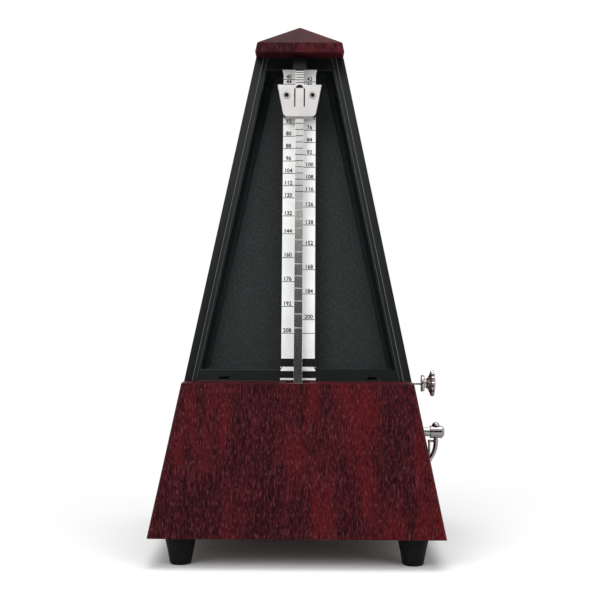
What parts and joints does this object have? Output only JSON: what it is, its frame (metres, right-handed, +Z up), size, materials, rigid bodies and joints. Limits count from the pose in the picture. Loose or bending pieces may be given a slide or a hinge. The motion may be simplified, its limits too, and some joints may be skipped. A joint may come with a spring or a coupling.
{
  "type": "metronome",
  "caption": "Clockwork pyramid metronome: wooden case with its front off, black frame, tempo scale, swinging rod with sliding weight, winding key and bell selector.",
  "frame": {"origin": "centre of the case's square footprint, on the plane that the four feet stand on; the key and the selector knob reach past the case on +X, so it isn't the box's centre", "axes": "+X to the winding key's side, +Y to the back of the case, +Z up along the pyramid's axis; the open front faces -Y"},
  "size_m": [0.1217, 0.1162, 0.22],
  "materials": {
    "mahogany": "satin lacquered mahogany",
    "black_plastic": "black, fine leather grain",
    "silver_scale": "satin anodised plate with printed marks",
    "steel": "polished rod and arbor steel",
    "nickel": "nickel plate",
    "brass": "lacquered brass",
    "dark_iron": "dark plated heavy metal",
    "black_rubber": "soft black rubber",
    "spring_steel": "blued spring steel",
    "board": "plain dark board",
    "bell_metal": "polished bell metal"
  },
  "bodies": {
    "case": {"case_body": "mahogany", "cap": "mahogany", "cap_screws": "steel", "inner_frame": "black_plastic", "scale_plate": "silver_scale", "rod_rest": "black_plastic", "bottom_plate": "board", "foot_front_left": "black_rubber", "foot_front_right": "black_rubber", "foot_rear_left": "black_rubber", "foot_rear_right": "black_rubber", "foot_screws": "steel", "left_plate": "brass", "right_plate": "brass", "pillars": "brass", "pillar_screws": "steel", "mounting_blocks": "steel", "mounting_screws": "steel", "escape_cock": "brass", "axle_bracket_front": "brass", "axle_bracket_rear": "brass", "key_bush": "brass", "selector_bush": "brass", "click_screws": "steel", "click_spring": "spring_steel", "bell": "bell_metal", "bell_post": "brass", "detent_spring": "spring_steel"},
    "pendulum": {"pendulum_rod": "steel", "pendulum_axle": "steel", "rod_collar": "steel", "pallet_front": "steel", "pallet_rear": "steel", "counterweight": "dark_iron", "bob_rivet": "steel"},
    "sliding_weight": {"weight_body": "steel", "weight_spring": "spring_steel", "weight_rivets": "steel"},
    "barrel": {"great_wheel": "brass", "barrel_cover": "brass", "mainspring": "spring_steel"},
    "second": {"second_arbor": "steel", "second_wheel": "brass", "bell_cams": "brass"},
    "escape": {"escape_arbor": "steel", "escape_wheel": "brass"},
    "winding": {"winding_arbor": "steel", "ratchet_wheel": "steel", "key_head": "nickel"},
    "bow": {"key_bow": "nickel", "key_rivet": "nickel"},
    "pawl": {"click": "steel"},
    "selector": {"selector_rod": "steel", "selector_knob": "nickel", "selector_collars": "brass"},
    "hammer": {"hammer_arm": "steel", "hammer_head": "steel"}
  },
  "joints": [
    {"name": "pendulum_swing", "type": "hinge", "parent": "case", "child": "pendulum", "pos_m": [0, -0.03831, 0.066], "axis": [0, -0.9799, 0.1995], "range_deg": [-26, 26]},
    {"name": "weight_slide", "type": "slide", "parent": "pendulum", "child": "sliding_weight", "axis": [0, 0.1995, 0.9799], "range_m": [-0.1039, 0.00445]},
    {"name": "barrel_turn", "type": "hinge", "parent": "case", "child": "barrel", "pos_m": [0, 0.008, 0.0461], "axis": [1, 0, 0], "continuous": true},
    {"name": "second_turn", "type": "hinge", "parent": "case", "child": "second", "pos_m": [0, -0.01365, 0.04572], "axis": [1, 0, 0], "continuous": true},
    {"name": "escape_turn", "type": "hinge", "parent": "case", "child": "escape", "pos_m": [0, -0.009, 0.06003], "axis": [1, 0, 0], "continuous": true},
    {"name": "key_turn", "type": "hinge", "parent": "case", "child": "winding", "pos_m": [0, 0.008, 0.0461], "axis": [1, 0, 0], "continuous": true},
    {"name": "bow_swivel", "type": "hinge", "parent": "winding", "child": "bow", "pos_m": [0.06, 0.008, 0.0461], "axis": [0, 0, 1], "range_deg": [0, 180]},
    {"name": "click_lift", "type": "hinge", "parent": "case", "child": "pawl", "pos_m": [0, 0.0174, 0.0527], "axis": [1, 0, 0], "range_deg": [0, 7], "stiffness_Nm_per_rad": 0.01, "springref_deg": -8.59},
    {"name": "selector_pull", "type": "slide", "parent": "case", "child": "selector", "axis": [1, 0, 0], "range_m": [-0.0048, 0.0016]},
    {"name": "hammer_strike", "type": "hinge", "parent": "selector", "child": "hammer", "pos_m": [0, -0.002, 0.0681], "axis": [1, 0, 0], "range_deg": [0, 10], "stiffness_Nm_per_rad": 0.002, "springref_deg": -22.92}
  ],
  "couplings": [
    {"joint": "second_turn", "follows": "barrel_turn", "ratio": -8},
    {"joint": "escape_turn", "follows": "barrel_turn", "ratio": 32}
  ]
}
